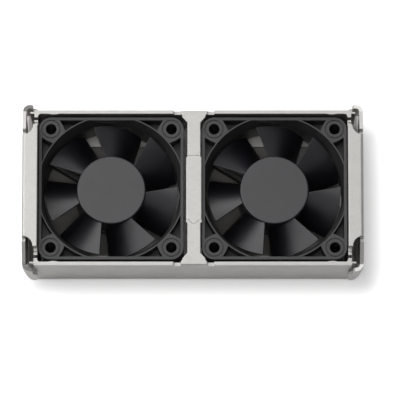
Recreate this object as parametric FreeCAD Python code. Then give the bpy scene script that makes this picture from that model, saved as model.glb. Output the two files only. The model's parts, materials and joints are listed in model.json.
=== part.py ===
"""Server fan module: two 60 mm axial fans in a folded sheet-metal tray.

Millimetres. The module lies on its back: +Z is the air inlet side, X runs along the two fans,
and the origin is the centre of the footprint at the back face.
"""

import FreeCAD, Part
import math
import os

from FreeCAD import Vector

# ---------------------------------------------------------------- driving dimensions
# tray
SHEET = 1.5
BEND_IN = 0.4
BEND_OUT = 0.8
SIDE_GAP = 1.25
END_GAP = 0.4
FACE_RECESS = 1.6
PLATE_EDGE = 1.75
RETURN_LENGTH = 3.05
CORNER_INNER_R = 1.2
CORNER_RELIEF = 2.0

# fan frame
FAN_SIDE = 60.0
FAN_DEPTH = 25.0
FAN_GAP = 7.7
FAN_CORNER_R = 5.0
HOLE_SPACING = 50.0
HOLE_R = 2.25
PILOT_R = 2.0
PILOT_DEPTH = 8.0
POCKET_DEPTH = 9.0
RIM_WALL = 1.2
DUCT_R = 28.3
DUCT_WALL = 1.6
INLET_FLARE = 2.05
INLET_DEPTH = 8.5
INLET_LIP = 0.5
BOSS_R = 3.9
BOSS_ROOT = 3.5
BOSS_SIDE = (4.85, 1.65)
BOSS_TIP = (5.8, -0.6)
BOSS_POINT = 6.5
BOSS_GROOVE_R = 3.55
BOSS_GROOVE = 0.4
BOSS_GROOVE_DEPTH = 0.7
STRUTS = 3
STRUT_ANGLE = 29.0
STRUT_WIDTH = 2.8
STRUT_HEIGHT = 3.2
STRUT_TAPER = 0.6
STRUT_ROOT = 0.5

# motor base and bearing
BASE_OVERHANG = 0.7
BASE_FLOOR = 2.0
BASE_RIM = 1.4
BASE_RIM_TOP = 4.0
LEDGE_TOP = 3.2
LEDGE_WIDTH = 1.0
TUBE_BORE_R = 3.0
TUBE_WALL = 1.2
SHOULDER_STEP = 0.4
TUBE_CLEAR = 0.8
SHAFT_R = 1.5
SHAFT_CHAMFER = 0.25
RUNNING_CLEARANCE = 0.02
FIT_GAP = 0.02
SLEEVE_DROP = 2.4
WASHER_GAP = 0.4
PAD_THICKNESS = 0.5
END_PLAY = 0.1

# stator
CORE_DROP = 4.1
CORE_HUB_SHARE = 0.62
AIR_GAP = 0.55
POLES = 4
POLE_WIDTH = 2.6
SHOE_THICKNESS = 1.3
SHOE_HALF_ANGLE = 38.0
INSULATOR = 0.6
COIL_THICKNESS = 1.5
COIL_ROUND = 0.9
COIL_GAP = 0.1
COIL_OVER_BOARD = 1.2
BOARD_THICKNESS = 1.0
BOARD_GAP = 0.15
CHIP_LENGTH = 4.0
CHIP_WIDTH = 3.4
CHIP_HEIGHT = 1.0
CHIP_SETBACK = 1.9
SENSOR_LENGTH = 2.0
SENSOR_WIDTH = 1.6
SENSOR_HEIGHT = 0.9
SENSOR_SETBACK = 1.8
PIN_R = 0.25
PIN_HEIGHT = 0.8
PIN_PLACE_R = 7.5
PIN_ANGLES = (80.0, 100.0, 120.0)

# rotor
HUB_R = 14.3
HUB_RECESS = 3.6
HUB_WALL = 1.1
HUB_TOP = 1.5
HUB_EDGE_R = 0.6
HUB_CLEAR = 0.6
YOKE_WALL = 0.8
YOKE_HOLE_GAP = 0.1
MAGNET_WALL = 1.5
MAGNET_OVERHANG = 1.2
HUB_BOSS_R = 3.2
HUB_BOSS_DEPTH = 2.1
SHAFT_GRIP = 3.2
CLIP_THICKNESS = 0.5
CLIP_R = 2.8
CLIP_GROOVE = 0.35
CLIP_SLOT = 1.6

# blades
BLADES = 7
TIP_CLEARANCE = 0.7
BLADE_MID_ANGLE = 81.3
BLADE_THICKNESS = 1.1
BLADE_EDGE = 0.4
BLADE_LEAD_ROOT = (13.4, 4.36)
BLADE_LEAD_TIP = (25.1, 11.4)
BLADE_TRAIL_ROOT = (12.56, -6.4)
BLADE_TRAIL_TIP = (26.2, -8.5)
BLADE_PLANES = (11.0, 17.0, 22.5, 28.5)
CAMBER_PLACE = 0.35
CAMBER_DROP = 0.25
LEAD_BELOW_HUB = 0.8
LEAD_RISE = 0.8
TRAIL_ABOVE_SKIRT = 1.0
TRAIL_RISE = 1.6

# screws in the back plate and the formed standoffs over them
SCREW_GAP = 0.05
SCREW_REACH = 6.0
SCREW_POINT = 1.2
SCREW_POINT_R = 0.9
SCREW_HEAD_R = 3.2
SCREW_HEAD = 1.6
HEAD_CHAMFER = 0.5
DRIVE_LENGTH = 3.8
DRIVE_WIDTH = 0.7
DRIVE_DEPTH = 0.9
EMBOSS_HEIGHT = 1.9
EMBOSS_WALL = 1.1
EMBOSS_FLARE = 0.5
HEAD_CLEAR = 0.4
SCREW_HOLE_CLEAR = 0.2

# windows in the back plate, centred on each fan
WINDOW_HALF_X = 28.0
WINDOW_HALF_Y = 23.3
WINDOW_CORNER_R = 15.0

# end channels
STRIP_RISE = 5.4
CHANNEL_WIDTH = 6.3
CHANNEL_BEND_IN = 0.3
CHANNEL_BEND_OUT = 1.2
STRIP_EDGE_R = 0.3
OUTER_WALL_BOTTOM = 0.6
NECK_HALF = 25.6
NECK_STEP = 4.2
NECK_OVERHANG = 0.3
END_WALL_GAP = 1.25
END_NOTCH_BACK = 1.25
END_NOTCH_WIDTH = 0.8
END_NOTCH_DEPTH = 1.0
TAB_WIDTH = 6.0
TAB_SPACING = 20.0
TAB_CLEARANCE = 0.1
TAB_SETBACK = 0.2

# ears at the ends of each channel's outer wall
EAR_SLOT = 2.3
EAR_SLOT_DEPTH = 3.5
EAR_SLOT_CORNER = 0.8
EAR_GAP = 0.9
EAR_BEND_IN = 1.5
EAR_ARM_FOOT = 5.1
EAR_ARM_LOW_Z = 26.0
EAR_ARM_TOP_DROP = 4.9
EAR_FLANGE = 4.25
EAR_FLANGE_DROP = 1.6
EAR_CORNER_R = 0.7
EAR_TONGUE = 5.95
EAR_TONGUE_TOP = 20.3
EAR_FOOT_Z = 9.1
EAR_FOOT_R = 1.2
EAR_FOOT_REACH = 1.6
EAR_BELLY = 1.95
EAR_BELLY_LOW = 2.4
EAR_BELLY_HIGH = 10.4

# centre straps and bridge
BAR_OFFSET = 0.45
STRAP_HALF = 2.65
FLARE_HALF = 4.75
FLARE_END_BACK = 0.75
FLARE_SHOULDER_BACK = 1.4
FLARE_THROAT_BACK = 3.75
ROOT_HALF = 5.4
RELIEF_WIDTH = 3.1
RELIEF_DEPTH = 2.2
RELIEF_R = 0.5
BRIDGE_CLEAR = 0.6
BRIDGE_TOP_Y = 12.8
BRIDGE_BOTTOM_Y = -13.6
BRIDGE_LEG = 8.0
NECK_LENGTH = 0.7
HEAD_LENGTH = 1.1
LAP = 4.0
LAP_HALF = 2.1
TONGUE_R = 1.85
TONGUE_INSET = 0.3
SEAM = 0.1

# fan locating dimples in the long walls
DIMPLE_LENGTH = 4.2
DIMPLE_HEIGHT = 7.0
DIMPLE_INSET = 0.3
DIMPLE_FROM_END = 6.0

# how far cutting tools run past the faces that they cut
PAST = 1.0

# ---------------------------------------------------------------- derived places
FAN_PITCH = FAN_SIDE + FAN_GAP
FAN_CENTRES = {"left": -FAN_PITCH / 2, "right": FAN_PITCH / 2}
HOLE_OFFSET = HOLE_SPACING / 2
FAN_Z = SHEET + EMBOSS_HEIGHT
RAIL_Z = FAN_Z + FAN_DEPTH + FACE_RECESS
STRIP_Z = RAIL_Z + STRIP_RISE
WALL_IN_Y = FAN_SIDE / 2 + SIDE_GAP
WALL_OUT_Y = WALL_IN_Y + SHEET
END_IN_X = FAN_PITCH / 2 + FAN_SIDE / 2 + END_GAP
END_OUT_X = END_IN_X + SHEET
CHANNEL_OUT_X = END_IN_X + CHANNEL_WIDTH
PLATE_END_X = END_OUT_X + PLATE_EDGE
RETURN_END_Y = WALL_OUT_Y - RETURN_LENGTH
RETURN_Z = BEND_OUT + CORNER_RELIEF
END_WALL_HALF = RETURN_END_Y - END_WALL_GAP
END_NOTCH_Y = END_WALL_HALF - END_NOTCH_BACK
FLARE_END_Y = WALL_IN_Y - FLARE_END_BACK
FLARE_SHOULDER_Y = WALL_IN_Y - FLARE_SHOULDER_BACK
FLARE_THROAT_Y = WALL_IN_Y - FLARE_THROAT_BACK
STRIP_HALF = NECK_HALF - NECK_STEP
EAR_IN_Y = WALL_OUT_Y + EAR_GAP
EAR_OUT_Y = EAR_IN_Y + SHEET
EAR_BEND_OUT = EAR_BEND_IN + SHEET
EAR_BEND_Y = EAR_OUT_Y - EAR_BEND_OUT
EAR_TOP_Z = STRIP_Z - EAR_ARM_TOP_DROP

RIM_IN = FAN_SIDE / 2 - RIM_WALL
REAR_BARREL_R = DUCT_R + DUCT_WALL
INLET_R = DUCT_R + INLET_FLARE
FRONT_BARREL_R = INLET_R + INLET_LIP
BASE_R = HUB_R + BASE_OVERHANG
BASE_RIM_IN_R = BASE_R - BASE_RIM
BOARD_TOP = LEDGE_TOP + BOARD_THICKNESS

HUB_FACE_Z = FAN_DEPTH - HUB_RECESS
SKIRT_Z = BASE_RIM_TOP + HUB_CLEAR
HUB_INNER_R = HUB_R - HUB_WALL
HUB_CEILING_Z = HUB_FACE_Z - HUB_TOP
HUB_BOSS_Z = HUB_CEILING_Z - HUB_BOSS_DEPTH
YOKE_OUT_R = HUB_INNER_R - FIT_GAP
YOKE_IN_R = YOKE_OUT_R - YOKE_WALL
YOKE_TOP_Z = HUB_CEILING_Z - FIT_GAP
YOKE_BOTTOM_Z = SKIRT_Z + HUB_CLEAR
MAGNET_OUT_R = YOKE_IN_R - FIT_GAP
MAGNET_IN_R = MAGNET_OUT_R - MAGNET_WALL
SHAFT_TOP_Z = HUB_BOSS_Z + SHAFT_GRIP
BLADE_TIP_R = DUCT_R - TIP_CLEARANCE

TUBE_OUT_R = TUBE_BORE_R + TUBE_WALL
TUBE_TOP = HUB_BOSS_Z - TUBE_CLEAR
SHAFT_END_Z = BASE_FLOOR + PAD_THICKNESS + END_PLAY
CLIP_Z = SHAFT_END_Z + CLIP_THICKNESS
SLEEVE_Z = CLIP_Z + CLIP_THICKNESS + HUB_CLEAR
SLEEVE_TOP = TUBE_TOP - SLEEVE_DROP
CORE_R = MAGNET_IN_R - AIR_GAP
CORE_BOTTOM = BOARD_TOP + COIL_OVER_BOARD + COIL_THICKNESS + INSULATOR
CORE_TOP = TUBE_TOP - CORE_DROP
CORE_BORE_R = TUBE_OUT_R + FIT_GAP
SHOE_IN_R = CORE_R - SHOE_THICKNESS
CORE_HUB_R = SHOE_IN_R * CORE_HUB_SHARE
SHOULDER_R = CORE_HUB_R - SHOULDER_STEP
CHIP_PLACE_R = MAGNET_IN_R - CHIP_SETBACK
SENSOR_PLACE_R = MAGNET_IN_R - SENSOR_SETBACK

SCREW_R = PILOT_R - SCREW_GAP
EMBOSS_IN_R = SCREW_HEAD_R + HEAD_CLEAR
EMBOSS_OUT_R = EMBOSS_IN_R + EMBOSS_WALL
BRIDGE_HALF = FAN_GAP / 2 - BRIDGE_CLEAR


# ---------------------------------------------------------------- helpers
def box(x0, x1, y0, y1, z0, z1):
    return Part.makeBox(x1 - x0, y1 - y0, z1 - z0, Vector(x0, y0, z0))


def cylinder(r, z0, z1, x=0.0, y=0.0):
    return Part.makeCylinder(r, z1 - z0, Vector(x, y, z0))


def ring(r_in, r_out, z0, z1):
    return cylinder(r_out, z0, z1).cut(cylinder(r_in, z0 - PAST, z1 + PAST))


def polygon(points):
    return Part.makePolygon(list(points) + [points[0]])


def prism(points, z0, z1):
    """A straight prism on a plan outline of (x, y) points."""
    face = Part.Face(polygon([Vector(x, y, z0) for x, y in points]))
    return face.extrude(Vector(0, 0, z1 - z0))


def rounded_box(half_x, half_y, r, z0, z1):
    """A plate with round corners, centred on the origin."""
    plate = box(-half_x, half_x, -half_y, half_y, z0, z1)
    corners = [e for e in plate.Edges if e.BoundBox.ZLength > (z1 - z0) / 2]
    return plate.makeFillet(r, corners)


def revolve(points):
    """A solid of revolution about Z from (r, z) points."""
    face = Part.Face(polygon([Vector(r, 0, z) for r, z in points]))
    return face.revolve(Vector(0, 0, 0), Vector(0, 0, 1), 360)


def quarter_bend(r_in, r_out, z0, z1, x, y):
    """A vertical bend about (x, y), in the quarter towards +X +Y."""
    bend = cylinder(r_out, z0, z1, x, y).cut(cylinder(r_in, z0 - PAST, z1 + PAST, x, y))
    return bend.common(box(x, x + r_out, y, y + r_out, z0, z1))


def turned(shape, degrees):
    copy = shape.copy()
    copy.rotate(Vector(0, 0, 0), Vector(0, 0, 1), degrees)
    return copy


def moved(shape, x=0.0, y=0.0, z=0.0):
    copy = shape.copy()
    copy.translate(Vector(x, y, z))
    return copy


def mirrored_x(shape):
    return shape.mirror(Vector(0, 0, 0), Vector(1, 0, 0))


def mirrored_y(shape):
    return shape.mirror(Vector(0, 0, 0), Vector(0, 1, 0))


def fuse_all(shapes):
    whole = shapes[0].multiFuse(shapes[1:])
    return whole.removeSplitter()


def cut_all(shape, tools):
    return shape.cut(group(tools))


def group(shapes):
    return Part.makeCompound(shapes)


def corner_places():
    return [(sx * HOLE_OFFSET, sy * HOLE_OFFSET) for sx in (-1, 1) for sy in (-1, 1)]


# ---------------------------------------------------------------- fan frame
def duct_core():
    """The air space through the frame: a straight throat and a flared inlet, inside the rim."""
    profile = [
        (0, -PAST),
        (DUCT_R, -PAST),
        (DUCT_R, FAN_DEPTH - INLET_DEPTH),
        (INLET_R, FAN_DEPTH),
        (INLET_R, FAN_DEPTH + PAST),
        (0, FAN_DEPTH + PAST),
    ]
    return revolve(profile).common(box(-RIM_IN, RIM_IN, -RIM_IN, RIM_IN, -PAST, FAN_DEPTH + PAST))


def corner_boss(z0, z1):
    """The shield-shaped column round one screw hole, in the corner at +X +Y."""
    c = HOLE_OFFSET
    half = [(c - BOSS_ROOT, RIM_IN)]
    half += [(c - inward, c + outward) for inward, outward in (BOSS_SIDE, BOSS_TIP)]
    other = [(y, x) for x, y in reversed(half)]
    outline = [(c, RIM_IN)] + half + [(c - BOSS_POINT, c - BOSS_POINT)] + other + [(RIM_IN, c)]
    return prism(outline, z0, z1).fuse(cylinder(BOSS_R, z0, z1, c, c))


def core_outs(barrel_r, z0, z1):
    """The moulded hollows between rim, duct wall and screw columns, cut to a given depth."""
    field = rounded_box(RIM_IN, RIM_IN, FAN_CORNER_R - RIM_WALL, z0, z1)
    kept = [cylinder(barrel_r, z0 - PAST, z1 + PAST)]
    kept += [turned(corner_boss(z0 - PAST, z1 + PAST), 90 * k) for k in range(4)]
    return cut_all(field, kept)


def screw_hole(x, y):
    """A through hole, narrower at the outlet side where the self-tapping screws bite."""
    pilot = cylinder(PILOT_R, -PAST, PILOT_DEPTH + PAST, x, y)
    return [pilot, cylinder(HOLE_R, PILOT_DEPTH, FAN_DEPTH + PAST, x, y)]


def boss_grooves():
    """The fine ring round each screw hole in the inlet face."""
    r_out = BOSS_GROOVE_R + BOSS_GROOVE
    groove = ring(BOSS_GROOVE_R, r_out, FAN_DEPTH - BOSS_GROOVE_DEPTH, FAN_DEPTH + PAST)
    return [moved(groove, x, y) for x, y in corner_places()]


def motor_base():
    """The stator carrier: floor, rim, board ledge and the bearing tube with its shoulder."""
    ledge_r = BASE_RIM_IN_R - LEDGE_WIDTH
    profile = [
        (0, 0),
        (BASE_R, 0),
        (BASE_R, BASE_RIM_TOP),
        (BASE_RIM_IN_R, BASE_RIM_TOP),
        (BASE_RIM_IN_R, LEDGE_TOP),
        (ledge_r, LEDGE_TOP),
        (ledge_r, BASE_FLOOR),
        (SHOULDER_R, BASE_FLOOR),
        (SHOULDER_R, CORE_BOTTOM),
        (TUBE_OUT_R, CORE_BOTTOM),
        (TUBE_OUT_R, TUBE_TOP),
        (TUBE_BORE_R, TUBE_TOP),
        (TUBE_BORE_R, BASE_FLOOR),
        (0, BASE_FLOOR),
    ]
    return revolve(profile)


def strut(angle):
    """One rear strut, a tapered bar from the motor base to the duct wall."""
    x0 = BASE_R - STRUT_ROOT
    x1 = DUCT_R + STRUT_ROOT
    outlines = []
    for half, z in ((STRUT_WIDTH / 2, 0), (STRUT_TAPER * STRUT_WIDTH / 2, STRUT_HEIGHT)):
        corners = ((x0, -half), (x1, -half), (x1, half), (x0, half))
        outlines.append(polygon([Vector(x, y, z) for x, y in corners]))
    return turned(Part.makeLoft(outlines, True, True), angle)


def fan_frame():
    half = FAN_SIDE / 2
    block = rounded_box(half, half, FAN_CORNER_R, 0, FAN_DEPTH)
    holes = [fuse_all(screw_hole(x, y)) for x, y in corner_places()]
    front = core_outs(FRONT_BARREL_R, FAN_DEPTH - POCKET_DEPTH, FAN_DEPTH + PAST)
    rear = core_outs(REAR_BARREL_R, -PAST, POCKET_DEPTH)
    shell = cut_all(block, holes + boss_grooves() + [duct_core(), front, rear])
    struts = [strut(STRUT_ANGLE + 360 / STRUTS * k) for k in range(STRUTS)]
    return fuse_all([shell, motor_base()] + struts)


# ---------------------------------------------------------------- bearing and stator
def sleeve_bearing():
    return ring(SHAFT_R + RUNNING_CLEARANCE, TUBE_BORE_R - FIT_GAP, SLEEVE_Z, SLEEVE_TOP)


def thrust_pad():
    return cylinder(TUBE_BORE_R - FIT_GAP, BASE_FLOOR, BASE_FLOOR + PAD_THICKNESS)


def pole_piece(z0, z1):
    """One salient pole: an arm and the curved shoe at its end, pointing along +X."""
    arm = box(TUBE_OUT_R, CORE_R - SHOE_THICKNESS / 2, -POLE_WIDTH / 2, POLE_WIDTH / 2, z0, z1)
    shoe = ring(SHOE_IN_R, CORE_R, z0, z1)
    reach = 2 * CORE_R
    side = reach * math.tan(math.radians(SHOE_HALF_ANGLE))
    wedge = prism([(0, 0), (reach, side), (reach, -side)], z0, z1)
    return arm.fuse(shoe.common(wedge))


def pole_angles():
    return [360 / POLES * (k + 0.5) for k in range(POLES)]


def stator_star(z0, z1, hole_r):
    centre = cylinder(CORE_HUB_R, z0, z1)
    poles = [turned(pole_piece(z0, z1), angle) for angle in pole_angles()]
    return fuse_all([centre] + poles).cut(cylinder(hole_r, z0 - PAST, z1 + PAST))


def stator_core():
    return stator_star(CORE_BOTTOM, CORE_TOP, CORE_BORE_R)


def stator_insulators():
    """Moulded end plates under and over the laminations."""
    under = stator_star(CORE_BOTTOM - INSULATOR, CORE_BOTTOM, SHOULDER_R + FIT_GAP)
    over = stator_star(CORE_TOP, CORE_TOP + INSULATOR, CORE_BORE_R)
    return group([under, over])


def stator_coils():
    """One winding round each pole, between the hub of the star and its shoe."""
    inner = POLE_WIDTH / 2 + FIT_GAP
    outer = inner + COIL_THICKNESS
    x0 = CORE_HUB_R + COIL_GAP
    x1 = math.sqrt(SHOE_IN_R**2 - outer**2) - COIL_GAP
    z0 = CORE_BOTTOM - INSULATOR - FIT_GAP
    z1 = CORE_TOP + INSULATOR + FIT_GAP
    bulk = box(x0, x1, -outer, outer, z0 - COIL_THICKNESS, z1 + COIL_THICKNESS)
    along = [e for e in bulk.Edges if e.BoundBox.XLength > (x1 - x0) / 2]
    bulk = bulk.makeFillet(COIL_ROUND, along)
    winding = bulk.cut(box(x0 - PAST, x1 + PAST, -inner, inner, z0, z1))
    return group([turned(winding, angle) for angle in pole_angles()])


def circuit_board():
    return ring(SHOULDER_R + BOARD_GAP, BASE_RIM_IN_R - BOARD_GAP, LEDGE_TOP, BOARD_TOP)


def board_components():
    """The drive chip, the Hall sensor and the winding pins that stand on the board."""
    z0 = BOARD_TOP
    half = CHIP_WIDTH / 2
    chip = box(-CHIP_LENGTH / 2, CHIP_LENGTH / 2, -half, half, z0, z0 + CHIP_HEIGHT)
    half = SENSOR_WIDTH / 2
    sensor = box(-SENSOR_LENGTH / 2, SENSOR_LENGTH / 2, -half, half, z0, z0 + SENSOR_HEIGHT)
    pin = cylinder(PIN_R, z0, z0 + PIN_HEIGHT, PIN_PLACE_R)
    pins = [turned(pin, angle) for angle in PIN_ANGLES]
    return group([moved(chip, y=-CHIP_PLACE_R), moved(sensor, x=SENSOR_PLACE_R)] + pins)


# ---------------------------------------------------------------- rotor
def hub():
    """The impeller's cup, with a rounded front edge and the boss that grips the shaft."""
    r = HUB_EDGE_R
    z = HUB_FACE_Z
    inset = r * (1 - math.sqrt(0.5))
    start = Vector(0, 0, z)
    rim = Vector(HUB_R - r, 0, z)
    middle = Vector(HUB_R - inset, 0, z - inset)
    side = Vector(HUB_R, 0, z - r)
    rest = [
        side,
        Vector(HUB_R, 0, SKIRT_Z),
        Vector(HUB_INNER_R, 0, SKIRT_Z),
        Vector(HUB_INNER_R, 0, HUB_CEILING_Z),
        Vector(HUB_BOSS_R, 0, HUB_CEILING_Z),
        Vector(HUB_BOSS_R, 0, HUB_BOSS_Z),
        Vector(0, 0, HUB_BOSS_Z),
        start,
    ]
    edges = [Part.makeLine(start, rim), Part.Arc(rim, middle, side).toShape()]
    edges += [Part.makeLine(a, b) for a, b in zip(rest[:-1], rest[1:])]
    cup = Part.Face(Part.Wire(edges)).revolve(Vector(0, 0, 0), Vector(0, 0, 1), 360)
    return cup.cut(cylinder(SHAFT_R, HUB_BOSS_Z - PAST, SHAFT_TOP_Z))


def on_line(d, root, tip):
    """Tangential place of a blade edge in the plane at distance d from the axis."""
    return root[1] + (tip[1] - root[1]) * (d - root[0]) / (tip[0] - root[0])


def blade_section(d):
    """The blade's closed section in the plane x = d: a cambered strip, thin at both edges."""
    share = (d - HUB_R) / (BLADE_TIP_R - HUB_R)
    lead_z = HUB_FACE_Z - LEAD_BELOW_HUB + LEAD_RISE * share
    trail_z = SKIRT_Z + TRAIL_ABOVE_SKIRT + TRAIL_RISE * share
    lead = Vector(d, on_line(d, BLADE_LEAD_ROOT, BLADE_LEAD_TIP), lead_z)
    trail = Vector(d, on_line(d, BLADE_TRAIL_ROOT, BLADE_TRAIL_TIP), trail_z)
    bend_y = trail.y + CAMBER_PLACE * (lead.y - trail.y)
    bend = Vector(d, bend_y, lead.z - CAMBER_DROP * (lead.z - trail.z))
    chord = trail - lead
    normal = Vector(0, chord.z, -chord.y).normalize()
    thin = normal * (BLADE_EDGE / 2)
    thick = normal * (BLADE_THICKNESS - BLADE_EDGE / 2)
    faces = []
    for side in (-1, 1):
        curve = Part.BezierCurve()
        curve.setPoles([lead + thin * side, bend + thick * side, trail + thin * side])
        faces.append(curve.toShape())
    lead_edge = Part.makeLine(lead - thin, lead + thin)
    trail_edge = Part.makeLine(trail - thin, trail + thin)
    return Part.Wire([faces[0], trail_edge, faces[1], lead_edge])


def blade():
    """One twisted blade, trimmed to the tip circle and rooted in the hub's wall."""
    solid = Part.makeLoft([blade_section(d) for d in BLADE_PLANES], True, True)
    return solid.common(ring(HUB_R - HUB_WALL / 2, BLADE_TIP_R, 0, FAN_DEPTH))


def impeller():
    one = turned(blade(), BLADE_MID_ANGLE)
    blades = [turned(one, 360 / BLADES * k) for k in range(BLADES)]
    return fuse_all([hub()] + blades)


def rotor_yoke():
    hole_r = HUB_BOSS_R + YOKE_HOLE_GAP
    profile = [
        (hole_r, YOKE_TOP_Z),
        (YOKE_OUT_R, YOKE_TOP_Z),
        (YOKE_OUT_R, YOKE_BOTTOM_Z),
        (YOKE_IN_R, YOKE_BOTTOM_Z),
        (YOKE_IN_R, YOKE_TOP_Z - YOKE_WALL),
        (hole_r, YOKE_TOP_Z - YOKE_WALL),
    ]
    return revolve(profile)


def magnet_ring():
    return ring(MAGNET_IN_R, MAGNET_OUT_R, YOKE_BOTTOM_Z, CORE_TOP + MAGNET_OVERHANG)


def shaft():
    neck = SHAFT_R - CLIP_GROOVE
    profile = [
        (0, SHAFT_END_Z),
        (SHAFT_R - SHAFT_CHAMFER, SHAFT_END_Z),
        (SHAFT_R, SHAFT_END_Z + SHAFT_CHAMFER),
        (SHAFT_R, CLIP_Z),
        (neck, CLIP_Z),
        (neck, CLIP_Z + CLIP_THICKNESS),
        (SHAFT_R, CLIP_Z + CLIP_THICKNESS),
        (SHAFT_R, SHAFT_TOP_Z),
        (0, SHAFT_TOP_Z),
    ]
    return revolve(profile)


def retaining_clip():
    """The split washer in the shaft's groove, open on one side."""
    top = CLIP_Z + CLIP_THICKNESS
    clip = ring(SHAFT_R - CLIP_GROOVE, CLIP_R, CLIP_Z, top)
    half = CLIP_SLOT / 2
    return clip.cut(box(0, CLIP_R + PAST, -half, half, CLIP_Z - PAST, top + PAST))


def oil_washer():
    z0 = SLEEVE_TOP + WASHER_GAP
    return ring(SHAFT_R, CLIP_R, z0, z0 + CLIP_THICKNESS)


def mounting_screws():
    """The four self-tapping screws that enter the frame's corners from under the tray."""
    head_top = EMBOSS_HEIGHT
    head_z = head_top - SCREW_HEAD
    tip_z = FAN_Z + SCREW_REACH
    profile = [
        (0, head_z),
        (SCREW_HEAD_R - HEAD_CHAMFER, head_z),
        (SCREW_HEAD_R, head_z + HEAD_CHAMFER),
        (SCREW_HEAD_R, head_top),
        (SCREW_R, head_top),
        (SCREW_R, tip_z - SCREW_POINT),
        (SCREW_POINT_R, tip_z),
        (0, tip_z),
    ]
    screw = revolve(profile)
    length = DRIVE_LENGTH / 2
    half = DRIVE_WIDTH / 2
    drive = box(-length, length, -half, half, head_z - PAST, head_z + DRIVE_DEPTH)
    screw = screw.cut(drive).cut(turned(drive, 90))
    return group([moved(screw, x, y) for x, y in corner_places()])


# ---------------------------------------------------------------- tray
def section_corner(sign, r, wall_y, floor_z):
    """Three points of one round corner of the U section: on the wall, midway and on the floor."""
    cy = sign * (wall_y - r)
    cz = floor_z + r
    k = math.sqrt(0.5)
    return [Vector(0, sign * wall_y, cz), Vector(0, cy + sign * k * r, cz - k * r), Vector(0, cy, floor_z)]


def tray_section():
    """The folded U section in the YZ plane: back plate and both long walls, with round bends."""
    a = section_corner(-1, BEND_OUT, WALL_OUT_Y, 0)
    b = section_corner(1, BEND_OUT, WALL_OUT_Y, 0)
    c = section_corner(1, BEND_IN, WALL_IN_Y, SHEET)
    d = section_corner(-1, BEND_IN, WALL_IN_Y, SHEET)
    top = {s: (Vector(0, s * WALL_OUT_Y, RAIL_Z), Vector(0, s * WALL_IN_Y, RAIL_Z)) for s in (-1, 1)}
    edges = [
        Part.makeLine(top[-1][0], a[0]),
        Part.Arc(*a).toShape(),
        Part.makeLine(a[2], b[2]),
        Part.Arc(b[2], b[1], b[0]).toShape(),
        Part.makeLine(b[0], top[1][0]),
        Part.makeLine(top[1][0], top[1][1]),
        Part.makeLine(top[1][1], c[0]),
        Part.Arc(*c).toShape(),
        Part.makeLine(c[2], d[2]),
        Part.Arc(d[2], d[1], d[0]).toShape(),
        Part.makeLine(d[0], top[-1][1]),
        Part.makeLine(top[-1][1], top[-1][0]),
    ]
    return Part.Face(Part.Wire(edges))


def emboss(x, y):
    """A formed standoff that carries one corner of a fan."""
    return Part.makeCone(EMBOSS_OUT_R + EMBOSS_FLARE, EMBOSS_OUT_R, EMBOSS_HEIGHT, Vector(x, y, SHEET))


def emboss_hollow(x, y):
    """The hollow under a standoff, for the screw's head, and the hole for its shank."""
    hollow = Part.makeCone(EMBOSS_IN_R + EMBOSS_FLARE, EMBOSS_IN_R, EMBOSS_HEIGHT, Vector(x, y, 0))
    return hollow.fuse(cylinder(SCREW_R + SCREW_HOLE_CLEAR, 0, FAN_Z + PAST, x, y))


def window():
    return rounded_box(WINDOW_HALF_X, WINDOW_HALF_Y, WINDOW_CORNER_R, -PAST, FAN_Z + PAST)


def wall_return():
    """The +X end of the +Y wall: a welded square corner with a fillet inside, and a short return."""
    post = box(END_IN_X, END_OUT_X, RETURN_END_Y, WALL_OUT_Y, RETURN_Z, RAIL_Z)
    near_y = [e for e in post.Edges if e.BoundBox.YMin > WALL_OUT_Y - SEAM]
    outside = [e for e in near_y if e.BoundBox.XMin > END_OUT_X - SEAM]
    post = post.makeFillet(BEND_IN, outside)
    r = CORNER_INNER_R
    fillet = box(END_IN_X - r, END_IN_X, WALL_IN_Y - r, WALL_IN_Y, RETURN_Z, RAIL_Z)
    return post.fuse(fillet.cut(cylinder(r, RETURN_Z - PAST, RAIL_Z + PAST, END_IN_X - r, WALL_IN_Y - r)))


def strap(seam_y):
    """The tab that folds off the +Y wall: a flare at the wall, then a plain strap to the seam."""
    side = [
        (ROOT_HALF, WALL_IN_Y),
        (FLARE_HALF, FLARE_END_Y),
        (FLARE_HALF, FLARE_SHOULDER_Y),
        (STRAP_HALF, FLARE_THROAT_Y),
        (STRAP_HALF, seam_y),
    ]
    other = [(-x, y) for x, y in reversed(side)]
    return prism(side + other, RAIL_Z - SHEET, RAIL_Z)


def strap_bend():
    """The sharp fold between the wall's top edge and the strap."""
    fold = box(-ROOT_HALF, ROOT_HALF, WALL_IN_Y, WALL_OUT_Y, RAIL_Z - SHEET, RAIL_Z)
    top = [e for e in fold.Edges if e.BoundBox.ZMin > RAIL_Z - SEAM]
    outside = [e for e in top if e.BoundBox.YMin > WALL_IN_Y + SEAM]
    return fold.makeFillet(BEND_OUT, outside)


def wall_notches():
    """The room for the strap's fold in the +Y wall, and a flat-bottomed relief on each side."""
    y0 = WALL_IN_Y - PAST
    y1 = WALL_OUT_Y + PAST
    z = RAIL_Z - RELIEF_DEPTH
    tools = [box(-ROOT_HALF, ROOT_HALF, y0, y1, RAIL_Z - SHEET, RAIL_Z + PAST)]
    for x0 in (-ROOT_HALF - RELIEF_WIDTH, ROOT_HALF):
        relief = box(x0, x0 + RELIEF_WIDTH, y0, y1, z, RAIL_Z + PAST)
        low = [e for e in relief.Edges if e.BoundBox.YLength > SHEET and e.BoundBox.ZMax < RAIL_Z]
        tools.append(relief.makeFillet(RELIEF_R, low))
    return fuse_all(tools)


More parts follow.
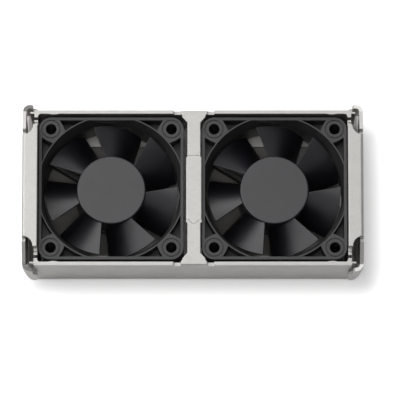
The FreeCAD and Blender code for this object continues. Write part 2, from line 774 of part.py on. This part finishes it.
def dimple(x):
    """A shallow pressed rib down the inside of the +Y wall, beside the fan's corner."""
    z0 = RAIL_Z - DIMPLE_HEIGHT
    r = (DIMPLE_LENGTH**2 / 4 + DIMPLE_INSET**2) / (2 * DIMPLE_INSET)
    bump = cylinder(r, z0, RAIL_Z, x, WALL_IN_Y - DIMPLE_INSET + r)
    return bump.common(box(x - DIMPLE_LENGTH, x + DIMPLE_LENGTH, 0, WALL_IN_Y, z0, RAIL_Z))


def tab_places():
    return [k * TAB_SPACING for k in (-1, 0, 1)]


def tab_slots():
    """Slots in the back plate for the +X end channel's tabs."""
    half = TAB_WIDTH / 2 + TAB_CLEARANCE
    x0 = END_IN_X - TAB_CLEARANCE
    x1 = END_OUT_X + TAB_CLEARANCE
    return [box(x0, x1, y - half, y + half, -PAST, SHEET + PAST) for y in tab_places()]


def wall_end_trim():
    """What is taken off the +X end of the +Y wall and its bend, where the return takes over."""
    x0 = END_OUT_X - BEND_OUT
    y0 = WALL_OUT_Y - BEND_OUT
    return box(x0, PLATE_END_X + PAST, y0, WALL_OUT_Y + PAST, -PAST, RAIL_Z + PAST)


def four_ways(shape):
    pair = [shape, mirrored_x(shape)]
    return pair + [mirrored_y(s) for s in pair]


def tray():
    shell = moved(tray_section().extrude(Vector(2 * PLATE_END_X, 0, 0)), -PLATE_END_X)
    slots = tab_slots()
    slots += [mirrored_x(slot) for slot in slots]
    notches = moved(wall_notches(), BAR_OFFSET)
    shell = cut_all(shell, four_ways(wall_end_trim()) + slots + [notches, mirrored_y(notches)])
    fans = list(FAN_CENTRES.values())
    places = [(fx + x, y) for fx in fans for x, y in corner_places()]
    dimple_x = END_OUT_X - DIMPLE_FROM_END - DIMPLE_LENGTH / 2
    adds = [emboss(x, y) for x, y in places]
    adds += four_ways(wall_return()) + four_ways(dimple(dimple_x))
    upper = strap(BRIDGE_TOP_Y + NECK_LENGTH + SEAM).fuse(strap_bend())
    lower = mirrored_y(strap(-BRIDGE_BOTTOM_Y + SEAM).fuse(strap_bend()))
    head_y = BRIDGE_BOTTOM_Y - SEAM
    head = box(-BRIDGE_HALF, BRIDGE_HALF, head_y - HEAD_LENGTH, head_y, RAIL_Z - SHEET, RAIL_Z)
    adds += [moved(s, BAR_OFFSET) for s in (upper, lower, head)]
    whole = fuse_all([shell] + adds)
    hollows = [emboss_hollow(x, y) for x, y in places]
    windows = [moved(window(), fx) for fx in fans]
    tongue_y = BRIDGE_BOTTOM_Y + TONGUE_INSET
    tongue = cylinder(TONGUE_R + SEAM, RAIL_Z - SHEET - PAST, RAIL_Z + PAST, BAR_OFFSET, tongue_y)
    return cut_all(whole, hollows + windows + [tongue])


# ---------------------------------------------------------------- centre bridge
def bridge_channel():
    """The web and its two down-turned legs."""
    bottom = RAIL_Z - SHEET - BRIDGE_LEG
    length = BRIDGE_TOP_Y - BRIDGE_BOTTOM_Y
    block = box(-BRIDGE_HALF, BRIDGE_HALF, BRIDGE_BOTTOM_Y, BRIDGE_TOP_Y, bottom, RAIL_Z)
    bends = [e for e in block.Edges if e.BoundBox.YLength > length / 2 and e.BoundBox.ZMin > bottom + PAST]
    block = block.makeFillet(BEND_IN, bends)
    inner = BRIDGE_HALF - SHEET
    hollow = box(-inner, inner, BRIDGE_BOTTOM_Y - PAST, BRIDGE_TOP_Y + PAST, bottom - PAST, RAIL_Z - SHEET)
    return block.cut(hollow)


def centre_bridge():
    """The channel between the fans, with a neck, a round tongue and laps under both straps."""
    neck_y = BRIDGE_TOP_Y + NECK_LENGTH
    neck = box(-STRAP_HALF, STRAP_HALF, BRIDGE_TOP_Y, neck_y, RAIL_Z - SHEET, RAIL_Z)
    tongue = cylinder(TONGUE_R, RAIL_Z - SHEET, RAIL_Z, 0, BRIDGE_BOTTOM_Y + TONGUE_INSET)
    z0 = RAIL_Z - 2 * SHEET
    z1 = RAIL_Z - SHEET
    laps = [
        box(-LAP_HALF, LAP_HALF, BRIDGE_TOP_Y - SHEET, neck_y + LAP, z0, z1),
        box(-LAP_HALF, LAP_HALF, BRIDGE_BOTTOM_Y - LAP, BRIDGE_BOTTOM_Y + SHEET, z0, z1),
    ]
    return moved(fuse_all([bridge_channel(), neck, tongue] + laps), BAR_OFFSET)


# ---------------------------------------------------------------- end channels
def channel_profile():
    """The inverted U of the end channel: inner wall, top strip and outer wall."""
    x0 = END_IN_X
    x1 = CHANNEL_OUT_X
    block = box(x0, x1, -NECK_HALF, NECK_HALF, SHEET, STRIP_Z)
    along = [e for e in block.Edges if e.BoundBox.YLength > NECK_HALF and e.BoundBox.ZMin > RAIL_Z]
    block = block.makeFillet(CHANNEL_BEND_OUT, [e for e in along if e.BoundBox.XMin > END_OUT_X])
    along = [e for e in block.Edges if e.BoundBox.YLength > NECK_HALF and e.BoundBox.ZMin > RAIL_Z]
    block = block.makeFillet(STRIP_EDGE_R, [e for e in along if e.BoundBox.XMax < END_OUT_X])
    hollow = box(x0 + SHEET, x1 - SHEET, -NECK_HALF - PAST, NECK_HALF + PAST, 0, STRIP_Z - SHEET)
    inside = [e for e in hollow.Edges if e.BoundBox.YLength > NECK_HALF and e.BoundBox.ZMin > RAIL_Z]
    hollow = hollow.makeFillet(CHANNEL_BEND_IN, inside)
    outer_foot = box(x1 - SHEET, x1, -STRIP_HALF, STRIP_HALF, OUTER_WALL_BOTTOM, SHEET)
    return block.cut(hollow).fuse(outer_foot)


def strip_end_cut():
    """What is taken off the +Y end: the outer wall, and the strip down to its narrow neck."""
    r = NECK_STEP
    x = END_OUT_X + NECK_OVERHANG + r
    top = STRIP_Z + PAST
    wall_x = CHANNEL_OUT_X - SHEET
    strip = box(x, CHANNEL_OUT_X + PAST, STRIP_HALF, NECK_HALF + PAST, RAIL_Z, top)
    wall = box(wall_x, CHANNEL_OUT_X + PAST, STRIP_HALF, NECK_HALF + PAST, 0, top)
    return fuse_all([strip, wall, cylinder(r, RAIL_Z, top, x, NECK_HALF)])


def ear_arm():
    """The outer wall's +Y end: a fin whose top edge falls and whose lower edge rises."""
    start = STRIP_HALF + EAR_SLOT
    notch_z = STRIP_Z - EAR_SLOT_DEPTH
    c = EAR_SLOT_CORNER
    outline = [
        (STRIP_HALF, OUTER_WALL_BOTTOM),
        (STRIP_HALF + EAR_ARM_FOOT, OUTER_WALL_BOTTOM),
        (EAR_BEND_Y, EAR_ARM_LOW_Z),
        (EAR_BEND_Y, EAR_TOP_Z),
        (start, STRIP_Z),
        (start, notch_z + c),
        (start - c, notch_z),
        (STRIP_HALF + c, notch_z),
        (STRIP_HALF, notch_z + c),
    ]
    face = Part.Face(polygon([Vector(CHANNEL_OUT_X - SHEET, y, z) for y, z in outline]))
    return face.extrude(Vector(SHEET, 0, 0))


def ear_leaf():
    """The outline of the ear's end in the XZ plane: a leaf that curves down to a hooked tongue."""
    x1 = CHANNEL_OUT_X
    flange_x = x1 - EAR_FLANGE
    tongue_x = x1 - EAR_TONGUE
    foot_x = tongue_x + EAR_FOOT_REACH
    r = EAR_CORNER_R
    top_z = EAR_TOP_Z - EAR_FLANGE_DROP
    y = EAR_IN_Y - EAR_BEND_OUT
    points = [
        (foot_x, EAR_FOOT_Z),
        (tongue_x + EAR_FOOT_R / 2, EAR_FOOT_Z),
        (tongue_x, EAR_FOOT_Z + EAR_FOOT_R),
        (tongue_x, EAR_TONGUE_TOP),
        (flange_x, EAR_TONGUE_TOP + flange_x - tongue_x),
        (flange_x, top_z - r),
        (flange_x + r, top_z),
        (x1, EAR_TOP_Z),
        (x1, EAR_ARM_LOW_Z),
    ]
    corners = [Vector(x, y, z) for x, z in points]
    edges = [Part.makeLine(a, b) for a, b in zip(corners[:-1], corners[1:])]
    belly = Part.BezierCurve()
    high = Vector(x1 - EAR_BELLY, y, EAR_FOOT_Z + EAR_BELLY_HIGH)
    low = Vector(x1 - EAR_BELLY, y, EAR_FOOT_Z + EAR_BELLY_LOW)
    belly.setPoles([corners[-1], high, low, corners[0]])
    edges.append(belly.toShape())
    return Part.Face(Part.Wire(edges)).extrude(Vector(0, 2 * EAR_BEND_OUT, 0))


def ear():
    """The fin, the vertical bend past the tray's corner and the end plate with its tongue."""
    x = CHANNEL_OUT_X - EAR_BEND_OUT
    bend = quarter_bend(EAR_BEND_IN, EAR_BEND_OUT, 0, RAIL_Z + PAST, x, EAR_BEND_Y)
    plate = box(CHANNEL_OUT_X - EAR_TONGUE, x, EAR_IN_Y, EAR_OUT_Y, 0, RAIL_Z + PAST)
    return fuse_all([ear_arm(), bend.fuse(plate).common(ear_leaf())])


def end_channel():
    """The right-hand end piece: end wall, raised strip, outer wall, tabs and both ears."""
    wall = box(END_IN_X, END_OUT_X, -END_WALL_HALF, END_WALL_HALF, SHEET, RAIL_Z)
    half = TAB_WIDTH / 2
    tabs = [box(END_IN_X, END_OUT_X, y - half, y + half, TAB_SETBACK, SHEET) for y in tab_places()]
    strip_end = strip_end_cut()
    profile = cut_all(channel_profile(), [strip_end, mirrored_y(strip_end)])
    one_ear = ear()
    whole = fuse_all([profile, wall, one_ear, mirrored_y(one_ear)] + tabs)
    y = END_NOTCH_Y - END_NOTCH_WIDTH / 2
    z = RAIL_Z - END_NOTCH_DEPTH
    notch = box(END_IN_X - PAST, END_OUT_X + PAST, y, y + END_NOTCH_WIDTH, z, RAIL_Z + PAST)
    return cut_all(whole, [notch, mirrored_y(notch)])


# ---------------------------------------------------------------- export
def export(name, shape):
    shape.exportStep("parts/" + name + ".step")


def export_fans():
    in_fan = {
        "frame": fan_frame(),
        "sleeve_bearing": sleeve_bearing(),
        "thrust_pad": thrust_pad(),
        "stator_core": stator_core(),
        "stator_insulators": stator_insulators(),
        "stator_coils": stator_coils(),
        "circuit_board": circuit_board(),
        "board_components": board_components(),
        "impeller": impeller(),
        "rotor_yoke": rotor_yoke(),
        "magnet_ring": magnet_ring(),
        "shaft": shaft(),
        "retaining_clip": retaining_clip(),
        "oil_washer": oil_washer(),
    }
    screws = mounting_screws()
    for side, x in FAN_CENTRES.items():
        for name, shape in in_fan.items():
            export(side + "_" + name, moved(shape, x, 0, FAN_Z))
        export(side + "_mounting_screws", moved(screws, x))


def main():
    os.makedirs("parts", exist_ok=True)
    export_fans()
    export("tray", tray())
    export("centre_bridge", centre_bridge())
    right = end_channel()
    export("right_end_channel", right)
    export("left_end_channel", mirrored_x(right))


main()
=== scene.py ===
"""Looks of the server fan module: a material for each CAD piece, a floor, lamps and a camera.

Lengths are in metres. Every visible piece is the CAD solid, and no shape is added here.
"""

import json
import math

import bmesh
import bpy
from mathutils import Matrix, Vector


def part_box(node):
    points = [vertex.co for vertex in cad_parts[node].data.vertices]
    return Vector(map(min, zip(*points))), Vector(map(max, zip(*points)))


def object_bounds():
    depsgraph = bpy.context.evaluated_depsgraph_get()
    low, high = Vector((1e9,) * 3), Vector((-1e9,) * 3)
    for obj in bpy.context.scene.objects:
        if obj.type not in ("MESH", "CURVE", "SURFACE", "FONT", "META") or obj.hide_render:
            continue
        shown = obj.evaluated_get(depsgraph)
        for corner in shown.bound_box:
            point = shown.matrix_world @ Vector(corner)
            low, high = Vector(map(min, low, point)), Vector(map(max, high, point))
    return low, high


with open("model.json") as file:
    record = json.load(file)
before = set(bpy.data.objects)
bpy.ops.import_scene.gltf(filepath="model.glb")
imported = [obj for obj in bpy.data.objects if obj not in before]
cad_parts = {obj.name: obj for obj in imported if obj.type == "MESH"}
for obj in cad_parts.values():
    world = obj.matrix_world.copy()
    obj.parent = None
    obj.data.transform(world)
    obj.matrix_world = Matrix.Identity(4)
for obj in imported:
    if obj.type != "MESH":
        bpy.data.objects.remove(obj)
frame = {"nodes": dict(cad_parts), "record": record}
cad_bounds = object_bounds()

MM = 0.001
WHITE = (1.0, 1.0, 1.0, 1.0)

# ---------------------------------------------------------------- values shared by materials
BEVEL_SAMPLES = 6
NOISE_ROUGHNESS = 0.55
EDGE_TURN = 0.25         # the edge mask is full where the dot product has fallen by this much
FINE_BUMP = 0.01 * MM    # depth of the grain on machined metal, nylon, epoxy and the like

# zinc-coated sheet
SHEET_DARK = (0.54, 0.53, 0.51)
SHEET_LIGHT = (0.63, 0.62, 0.60)
SHEET_SPECK = (0.48, 0.47, 0.45)
# painted highlight along the sheet's edges
SHEET_EDGE_HIGHLIGHT = (0.88, 0.87, 0.85)
SHEET_BLOTCH_SIZE = 9 * MM
SHEET_GRAIN_SIZE = 0.35 * MM
SHEET_GRAIN_STRETCH = (10, 1, 1)    # rolled along X
SHEET_SPECK_SIZE = 0.8 * MM
SHEET_SPECK_SHARE = 0.4
SHEET_SPECK_HEIGHT = 0.6            # against the rolled grain's 1
SHEET_ROUGHNESS = (0.44, 0.58)
SHEET_HIGHLIGHT_WIDTH = 0.3 * MM
SHEET_EDGE_ROUND = 0.25 * MM
SHEET_BUMP = 0.012 * MM

# moulded plastic
PLASTIC_CLOUD_SIZE = 6 * MM
PLASTIC_HIGHLIGHT_GAIN = 3.5             # painted edge highlights, against the lighter tint
PLASTIC_HIGHLIGHT_SHARE = 0.8
PLASTIC_HIGHLIGHT_WIDTH = 0.25 * MM
PLASTIC_EDGE_ROUND = 0.2 * MM
PLASTIC_ROUGHNESS_SWING = 0.06
PLASTIC_BUMP = 0.02 * MM

# bare metal
METAL_DARK_SHARE = 0.8
METAL_ROUGHNESS_BELOW = 0.05
METAL_ROUGHNESS_ABOVE = 0.08

# nylon, ferrite, epoxy and board resin
RESIN_IOR = 1.5
RESIN_DARK_SHARE = 0.82
RESIN_ROUGHNESS_SWING = 0.05

# enamelled copper wire
WIRE_PITCH = 0.9 * MM
WIRE_DARK = (0.30, 0.10, 0.04)
WIRE_LIGHT = (0.62, 0.27, 0.12)
WIRE_ROUGHNESS = (0.45, 0.28)       # between turns, and on top of one
WIRE_BUMP = 0.05 * MM

# ---------------------------------------------------------------- floor
FLOOR_REACH = 3.0            # from its middle to its edge
FLOOR_CELLS = 4
FLOOR_GAP = 0.05 * MM        # below the tray, so that no two faces share a plane
PAPER_DARK = (0.80, 0.80, 0.80)
PAPER_LIGHT = (0.82, 0.82, 0.82)
PAPER_ROUGHNESS = 0.9
PAPER_FIBRE_SIZE = 4 * MM
PAINTED_UNDER_SHADE = (0.33, 0.32, 0.305)    # painted shade on the floor under the module, where little light gets in

# white glow added to what is seen of the floor: little beside the module, more beyond its shade, so
# the shadow's falloff is painted as well as cast
FLOOR_LIFT_NEAR = 0.28
FLOOR_LIFT = 0.8
FLOOR_IN_MIRRORS = 0.08      # the share of it that metal reflects
SHADE_INSET = 8 * MM         # the shade, cast and painted, starts this far in at the left and the back
SHADE_REACH = 13 * MM        # and has gone this far out
FOOT_SHADE = 0.8 * MM        # painted shadow: a dark line along the tray's foot, where no white is added over the cast shade

# painted shade on the floor under each end channel, which stands out beyond the tray
UNDER_INSET = 2 * MM         # in from the channel's outer wall
UNDER_FRONT = 4 * MM         # back from the tray's front
UNDER_BACK = 1 * MM          # past the back ears
UNDER_EDGE = 3 * MM          # width of its soft edge

# ---------------------------------------------------------------- light
SKY = 0.17
LAMPS = {
    "left_panel": {"place": Vector((-1.15, 0.1, 0.55)), "size": 1.4, "power": 2.1},
    "left_back_panel": {"place": Vector((-1.0, 0.65, 0.6)), "size": 1.1, "power": 2.2},
    "back_panel": {"place": Vector((-0.2, 1.15, 0.55)), "size": 1.1, "power": 5.6},
    "overhead_left": {"place": Vector((-0.7, 0.1, 1.1)), "size": 1.4, "power": 7.0},
    "overhead": {"place": Vector((0.0, 0.27, 1.3)), "size": 0.6, "power": 1.6},
    "camera_side": {"place": Vector((0.0, -0.4, 1.3)), "size": 0.4, "power": 1.2},
    "front_fill": {"place": Vector((-0.15, -1.05, 1.0)), "size": 0.8, "power": 0.6},
    "right_fill": {"place": Vector((1.1, 0.2, 0.7)), "size": 1.3, "power": 0.9},
}

# ---------------------------------------------------------------- camera
# a long lens, tipped a little from straight down so that it sees the front wall
CAMERA_DISTANCE = 2.0
CAMERA_TILT = math.radians(11.375)
CAMERA_LENS = 434.5          # millimetres, as is the sensor
CAMERA_SENSOR = 36.0
CAMERA_CLIP_END = 10.0
AIM_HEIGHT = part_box("left_frame")[1][2]    # the fans' inlet face
AIM_RIGHT = 2.98 * MM
AIM_DOWN = 4.89 * MM


class Graph:
    """A material's node tree, with short calls for the nodes used here."""

    def __init__(self, name):
        self.material = bpy.data.materials.new(name)
        self.material.use_nodes = True
        self.tree = self.material.node_tree
        self.shader = self.tree.nodes["Principled BSDF"]
        self.place = self.add("ShaderNodeTexCoord").outputs["Object"]

    def add(self, kind, **settings):
        node = self.tree.nodes.new(kind)
        for key, value in settings.items():
            setattr(node, key, value)
        return node

    def link(self, output, target):
        self.tree.links.new(output, target)

    def set(self, **values):
        """Plain values on the shader's own sockets; underscores stand for spaces."""
        for key, value in values.items():
            self.shader.inputs[key.replace("_", " ")].default_value = value

    def scaled_place(self, size, stretch=(1, 1, 1)):
        """The point's place counted in cells of size metres, longer where stretch is over 1."""
        mapping = self.add("ShaderNodeMapping")
        mapping.inputs["Scale"].default_value = [1 / (size * s) for s in stretch]
        self.link(self.place, mapping.inputs["Vector"])
        return mapping.outputs["Vector"]

    def noise(self, size, detail=3, stretch=(1, 1, 1)):
        """Noise with grains about size metres across."""
        node = self.add("ShaderNodeTexNoise")
        node.inputs["Scale"].default_value = 1.0
        node.inputs["Detail"].default_value = detail
        node.inputs["Roughness"].default_value = NOISE_ROUGHNESS
        self.link(self.scaled_place(size, stretch), node.inputs["Vector"])
        return node.outputs["Fac"]

    def bands(self, pitch):
        """Slanting ridges, pitch metres apart."""
        node = self.add("ShaderNodeTexWave", wave_type="BANDS", bands_direction="DIAGONAL")
        node.inputs["Scale"].default_value = 1.0
        self.link(self.scaled_place(pitch), node.inputs["Vector"])
        return node.outputs["Fac"]

    def ramp(self, value, low, high, to_low=0.0, to_high=1.0, shape="LINEAR"):
        """The value carried from low..high to to_low..to_high, and held at both ends."""
        node = self.add("ShaderNodeMapRange", interpolation_type=shape)
        node.inputs["From Min"].default_value = low
        node.inputs["From Max"].default_value = high
        node.inputs["To Min"].default_value = to_low
        node.inputs["To Max"].default_value = to_high
        self.link(value, node.inputs["Value"])
        return node.outputs["Result"]

    def mix(self, share, a, b):
        """Colour a, going to colour b as share goes from 0 to 1."""
        node = self.add("ShaderNodeMix", data_type="RGBA")
        self.link(share, node.inputs["Factor"])
        for socket, colour in ((node.inputs["A"], a), (node.inputs["B"], b)):
            if isinstance(colour, tuple):
                socket.default_value = (*colour, 1.0)
            else:
                self.link(colour, socket)
        return node.outputs["Result"]

    def math(self, operation, a, b):
        node = self.add("ShaderNodeMath", operation=operation)
        for socket, value in zip(node.inputs, (a, b)):
            if isinstance(value, (int, float)):
                socket.default_value = value
            else:
                self.link(value, socket)
        return node.outputs["Value"]

    def rounded(self, radius):
        """The normal with every edge rounded by radius."""
        node = self.add("ShaderNodeBevel", samples=BEVEL_SAMPLES)
        node.inputs["Radius"].default_value = radius
        return node.outputs["Normal"]

    def edges(self, width):
        """A mask that is 1 along the edges and 0 on flat faces, where highlights are painted."""
        dot = self.add("ShaderNodeVectorMath", operation="DOT_PRODUCT")
        self.link(self.rounded(width), dot.inputs[0])
        self.link(self.add("ShaderNodeNewGeometry").outputs["Normal"], dot.inputs[1])
        return self.ramp(dot.outputs["Value"], 1.0, 1.0 - EDGE_TURN)

    def bump(self, height, depth, normal=None):
        node = self.add("ShaderNodeBump")
        node.inputs["Strength"].default_value = 1.0
        node.inputs["Distance"].default_value = depth
        self.link(height, node.inputs["Height"])
        if normal is not None:
            self.link(normal, node.inputs["Normal"])
        self.link(node.outputs["Normal"], self.shader.inputs["Normal"])

    def colour(self, value):
        self.link(value, self.shader.inputs["Base Color"])

    def roughness(self, value):
        self.link(value, self.shader.inputs["Roughness"])


# ---------------------------------------------------------------- materials of the module
def darker(colour, share):
    return tuple(share * channel for channel in colour)


def sheet_metal():
    """Zinc-coated sheet steel: a fine rolled grain, soft blotches, specks and painted highlights on
    its edges.
    """
    g = Graph("galvanised_sheet")
    g.set(Metallic=1.0)
    blotch = g.noise(SHEET_BLOTCH_SIZE, detail=4)
    grain = g.noise(SHEET_GRAIN_SIZE, detail=2, stretch=SHEET_GRAIN_STRETCH)
    speck = g.noise(SHEET_SPECK_SIZE)
    body = g.mix(g.ramp(blotch, 0.3, 0.7), SHEET_DARK, SHEET_LIGHT)
    body = g.mix(g.ramp(speck, 0.45, 0.75, 0.0, SHEET_SPECK_SHARE), body, SHEET_SPECK)
    # painted highlight: the edges take a near-white colour
    g.colour(g.mix(g.edges(SHEET_HIGHLIGHT_WIDTH), body, SHEET_EDGE_HIGHLIGHT))
    g.roughness(g.ramp(g.math("ADD", blotch, grain), 0.6, 1.4, *SHEET_ROUGHNESS))
    relief = g.math("ADD", grain, g.math("MULTIPLY", speck, SHEET_SPECK_HEIGHT))
    g.bump(relief, SHEET_BUMP, g.rounded(SHEET_EDGE_ROUND))
    return g.material


def moulded_plastic(name, dark, light, ior, rough, grain_size):
    """Black moulded plastic with a fine spark-eroded texture and painted highlights on its edges.
    """
    g = Graph(name)
    g.set(Metallic=0.0, IOR=ior)
    cloud = g.noise(PLASTIC_CLOUD_SIZE, detail=4)
    grain = g.noise(grain_size)
    body = g.mix(g.ramp(cloud, 0.3, 0.7), dark, light)
    # painted highlight: the edges take a paler colour than the body
    edge = tuple(PLASTIC_HIGHLIGHT_GAIN * channel for channel in light)
    share = g.ramp(g.edges(PLASTIC_HIGHLIGHT_WIDTH), 0.0, 1.0, 0.0, PLASTIC_HIGHLIGHT_SHARE)
    g.colour(g.mix(share, body, edge))
    swing = PLASTIC_ROUGHNESS_SWING
    g.roughness(g.ramp(grain, 0.3, 0.7, rough - swing, rough + swing))
    g.bump(grain, PLASTIC_BUMP, g.rounded(PLASTIC_EDGE_ROUND))
    return g.material


def bare_metal(name, colour, rough, grain_size, stretch=(1, 1, 1)):
    """Machined, drawn or sintered metal with its own grain."""
    g = Graph(name)
    g.set(Metallic=1.0)
    grain = g.noise(grain_size, stretch=stretch)
    g.colour(g.mix(g.ramp(grain, 0.35, 0.65), darker(colour, METAL_DARK_SHARE), colour))
    smooth, coarse = rough - METAL_ROUGHNESS_BELOW, rough + METAL_ROUGHNESS_ABOVE
    g.roughness(g.ramp(grain, 0.3, 0.7, smooth, coarse))
    g.bump(grain, FINE_BUMP)
    return g.material


def resin(name, colour, rough, grain_size):
    """Nylon, ferrite, epoxy and board resin: a tint that wanders a little, with a fine grain."""
    g = Graph(name)
    g.set(Metallic=0.0, IOR=RESIN_IOR)
    grain = g.noise(grain_size)
    g.colour(g.mix(g.ramp(grain, 0.3, 0.7), darker(colour, RESIN_DARK_SHARE), colour))
    swing = RESIN_ROUGHNESS_SWING
    g.roughness(g.ramp(grain, 0.3, 0.7, rough - swing, rough + swing))
    g.bump(grain, FINE_BUMP)
    return g.material


def copper_winding():
    """Enamelled wire laid in turns: fine ribs across the coil."""
    g = Graph("copper_winding")
    g.set(Metallic=1.0)
    turns = g.bands(WIRE_PITCH)
    g.colour(g.mix(turns, WIRE_DARK, WIRE_LIGHT))
    g.roughness(g.ramp(turns, 0.0, 1.0, *WIRE_ROUGHNESS))
    g.bump(turns, WIRE_BUMP)
    return g.material


# one for each material slot of the record
MATERIALS = {
    "galvanised_sheet": sheet_metal(),
    "frame_plastic": moulded_plastic(
        "frame_plastic", dark=(0.018, 0.018, 0.018), light=(0.027, 0.027, 0.027),
        ior=1.64, rough=0.47, grain_size=0.3 * MM),
    "impeller_plastic": moulded_plastic(
        "impeller_plastic", dark=(0.006, 0.006, 0.009), light=(0.011, 0.011, 0.015),
        ior=1.67, rough=0.36, grain_size=0.22 * MM),
    "sintered_bronze": bare_metal("sintered_bronze", (0.50, 0.33, 0.17), 0.5, 0.15 * MM),
    "natural_nylon": resin("natural_nylon", (0.74, 0.71, 0.63), 0.45, 0.6 * MM),
    "lamination_steel": bare_metal(
        "lamination_steel", (0.36, 0.36, 0.37), 0.45, 0.35 * MM, stretch=(30, 30, 1)),
    "copper_winding": copper_winding(),
    "circuit_board": resin("circuit_board", (0.03, 0.20, 0.08), 0.3, 0.8 * MM),
    "component_black": resin("component_black", (0.03, 0.03, 0.03), 0.5, 0.2 * MM),
    "screw_steel": bare_metal("screw_steel", (0.62, 0.62, 0.61), 0.34, 0.2 * MM),
    "yoke_steel": bare_metal(
        "yoke_steel", (0.50, 0.50, 0.51), 0.35, 0.3 * MM, stretch=(1, 1, 8)),
    "ferrite": resin("ferrite", (0.07, 0.07, 0.07), 0.6, 0.15 * MM),
    "shaft_steel": bare_metal(
        "shaft_steel", (0.66, 0.66, 0.67), 0.2, 0.1 * MM, stretch=(6, 6, 1)),
}


def dress_cad_nodes():
    """Gives each CAD node the finish of its material slot."""
    for part in frame["record"]["subparts"]:
        node = frame["nodes"][part["node"]]
        node.data.materials.clear()
        node.data.materials.append(MATERIALS[part["material_slot"]])


# ---------------------------------------------------------------- stage, light and camera
def outside(g, place, limits):
    """How far a point of the floor lies outside a rectangle, given by its X and Y limits."""
    past = g.add("ShaderNodeCombineXYZ")
    for axis, (low, high) in zip("XY", limits):
        value = place.outputs[axis]
        over = g.math("MAXIMUM", g.math("SUBTRACT", low, value), g.math("SUBTRACT", value, high))
        g.link(g.math("MAXIMUM", over, 0.0), past.inputs[axis])
    reach = g.add("ShaderNodeVectorMath", operation="LENGTH")
    g.link(past.outputs["Vector"], reach.inputs[0])
    return reach.outputs["Value"]


def seen_floor(g):
    """1 for what the camera sees straight or through glass, and a small share in metal."""
    path = g.add("ShaderNodeLightPath")
    straight = g.math("MAXIMUM", path.outputs["Is Camera Ray"], path.outputs["Is Transmission Ray"])
    mirrored = g.math("MULTIPLY", path.outputs["Is Glossy Ray"], FLOOR_IN_MIRRORS)
    return g.math("MAXIMUM", straight, mirrored)


def floor_paper():
    """Pale paper that shows white away from the module, with cast and painted shade close by."""
    g = Graph("floor_paper")
    g.set(Metallic=0.0, Roughness=PAPER_ROUGHNESS, Emission_Color=WHITE)
    paper = g.mix(g.noise(PAPER_FIBRE_SIZE), PAPER_DARK, PAPER_LIGHT)
    place = g.add("ShaderNodeSeparateXYZ")
    g.link(g.place, place.inputs["Vector"])
    low, high = cad_bounds
    tray_low, tray_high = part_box("tray")
    front = tray_low[1]

    # 0 under the two end channels, where shade is painted, and 1 clear of them
    clear = 1.0
    left_end = (low[0] + UNDER_INSET, tray_low[0])
    right_end = (tray_high[0], high[0] - UNDER_INSET)
    for end in (left_end, right_end):
        under = (end, (front + UNDER_FRONT, high[1] + UNDER_BACK))
        past_end = g.ramp(outside(g, place, under), 0.0, UNDER_EDGE, shape="SMOOTHSTEP")
        clear = g.math("MULTIPLY", past_end, clear)

    # paper in the open, and painted shade under the tray and the end channels
    off_tray = outside(g, place, ((tray_low[0], tray_high[0]), (front, tray_high[1])))
    in_the_open = g.math("MULTIPLY", clear, g.math("GREATER_THAN", off_tray, 0.0))
    g.colour(g.mix(in_the_open, PAINTED_UNDER_SHADE, paper))

    # the white that is added, none of it under the module
    past_foot = g.math("MULTIPLY", clear, g.ramp(off_tray, 0.0, FOOT_SHADE))
    shade = ((low[0] + SHADE_INSET, high[0]), (front, high[1] - SHADE_INSET))
    past_shade = outside(g, place, shade)
    lift = g.ramp(past_shade, 0.0, SHADE_REACH, FLOOR_LIFT_NEAR, FLOOR_LIFT, "SMOOTHSTEP")
    lift = g.math("MULTIPLY", lift, past_foot)
    g.link(g.math("MULTIPLY", seen_floor(g), lift), g.shader.inputs["Emission Strength"])
    return g.material


def floor():
    mesh = bpy.data.meshes.new("floor")
    shape = bmesh.new()
    bmesh.ops.create_grid(
        shape, x_segments=FLOOR_CELLS, y_segments=FLOOR_CELLS, size=FLOOR_REACH)
    shape.to_mesh(mesh)
    shape.free()
    mesh.materials.append(floor_paper())
    ground = bpy.data.objects.new("floor", mesh)
    ground.location.z = cad_bounds[0][2] - FLOOR_GAP
    bpy.context.collection.objects.link(ground)


def sky():
    world = bpy.data.worlds.new("sky")
    world.use_nodes = True
    background = world.node_tree.nodes["Background"]
    background.inputs["Color"].default_value = WHITE
    background.inputs["Strength"].default_value = SKY
    bpy.context.scene.world = world


def area_lamp(name, place, size, power):
    """A round soft lamp, turned to the origin."""
    light = bpy.data.lights.new(name, "AREA")
    light.shape = "DISK"
    light.size = size
    light.energy = power
    lamp = bpy.data.objects.new(name, light)
    lamp.location = place
    lamp.rotation_euler = (-place).to_track_quat("-Z", "Y").to_euler()
    bpy.context.collection.objects.link(lamp)


def camera():
    data = bpy.data.cameras.new("camera")
    data.sensor_width = CAMERA_SENSOR
    data.lens = CAMERA_LENS
    data.clip_end = CAMERA_CLIP_END
    view = bpy.data.objects.new("camera", data)
    forward = Vector((0, math.sin(CAMERA_TILT), -math.cos(CAMERA_TILT)))
    up = Vector((0, math.cos(CAMERA_TILT), math.sin(CAMERA_TILT)))
    aim = Vector((AIM_RIGHT, 0, AIM_HEIGHT)) - AIM_DOWN * up
    view.location = aim - CAMERA_DISTANCE * forward
    view.rotation_euler = (CAMERA_TILT, 0, 0)
    bpy.context.collection.objects.link(view)
    bpy.context.scene.camera = view


bpy.context.scene.view_settings.view_transform = "Standard"
dress_cad_nodes()
floor()
sky()
for lamp_name, lamp in LAMPS.items():
    area_lamp(lamp_name, **lamp)
camera()
